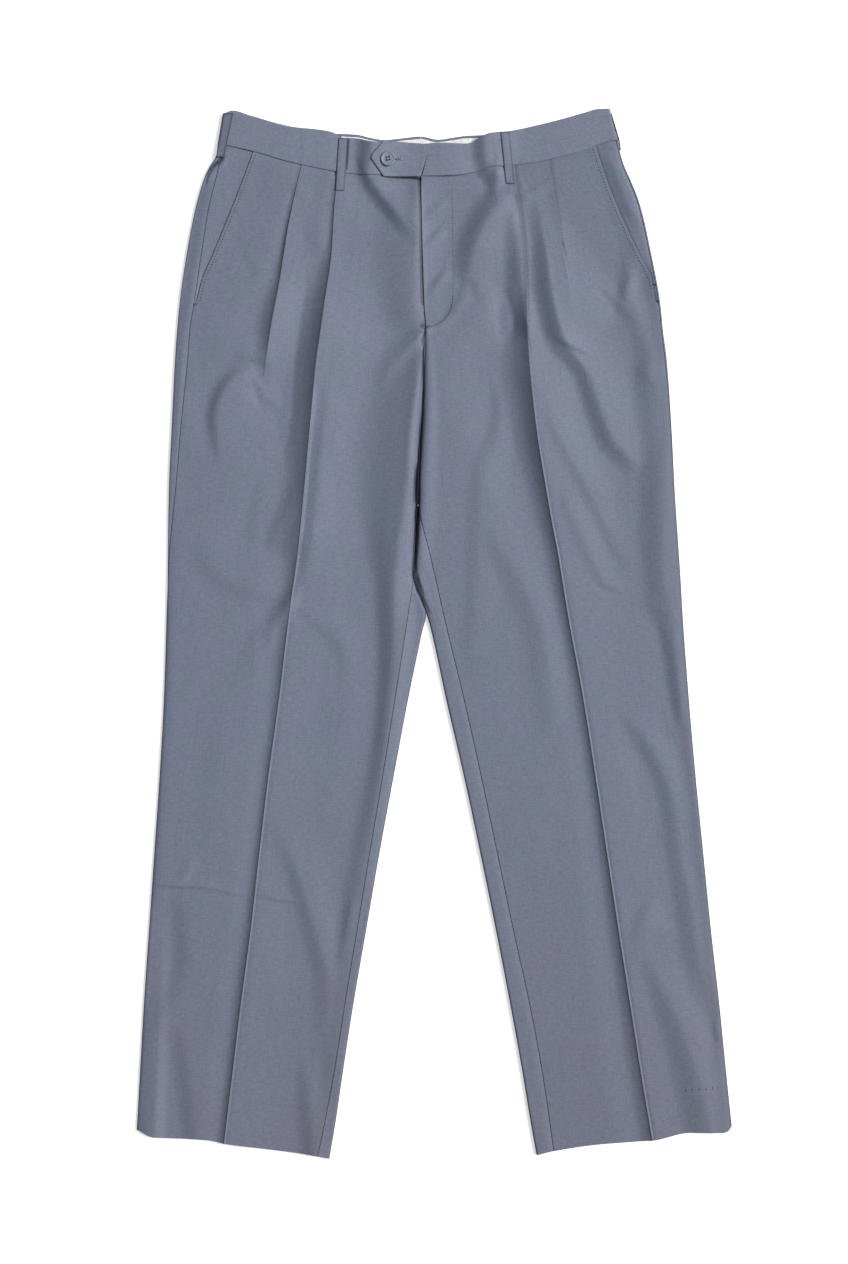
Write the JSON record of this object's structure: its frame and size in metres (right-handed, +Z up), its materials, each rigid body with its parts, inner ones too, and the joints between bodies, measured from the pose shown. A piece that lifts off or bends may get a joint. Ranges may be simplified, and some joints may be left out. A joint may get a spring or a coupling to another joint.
{
  "type": "pleated dress trousers",
  "caption": "Pressed wool dress trousers with reverse pleats, buttoned waistband, belt loops and slanted pockets, lying flat with the front up.",
  "frame": {"origin": "on the surface that the trousers lie on, under the middle of their bounding box", "axes": "+Y towards the waist, +Z up from the surface, +X towards the wearer's left"},
  "size_m": [0.6247, 1.1015, 0.0104],
  "materials": {
    "cloth": "matt woven wool, grey-blue",
    "lining": "matt woven cotton, off-white",
    "button": "polished, with thread in four holes",
    "thread": "sewing thread, slightly shiny"
  },
  "bodies": {
    "root": {"front_right": "cloth", "front_left": "cloth", "back_right": "cloth", "back_left": "cloth", "pocket_facing_right": "cloth", "pocket_facing_left": "cloth", "waistband_right": "cloth", "waistband_left": "cloth", "waistband_tab": "cloth", "waistband_lining": "lining", "belt_loop_front_right": "cloth", "belt_loop_front_left": "cloth", "belt_loop_side_right": "cloth", "belt_loop_side_left": "cloth", "button": "button"}
  },
  "joints": []
}
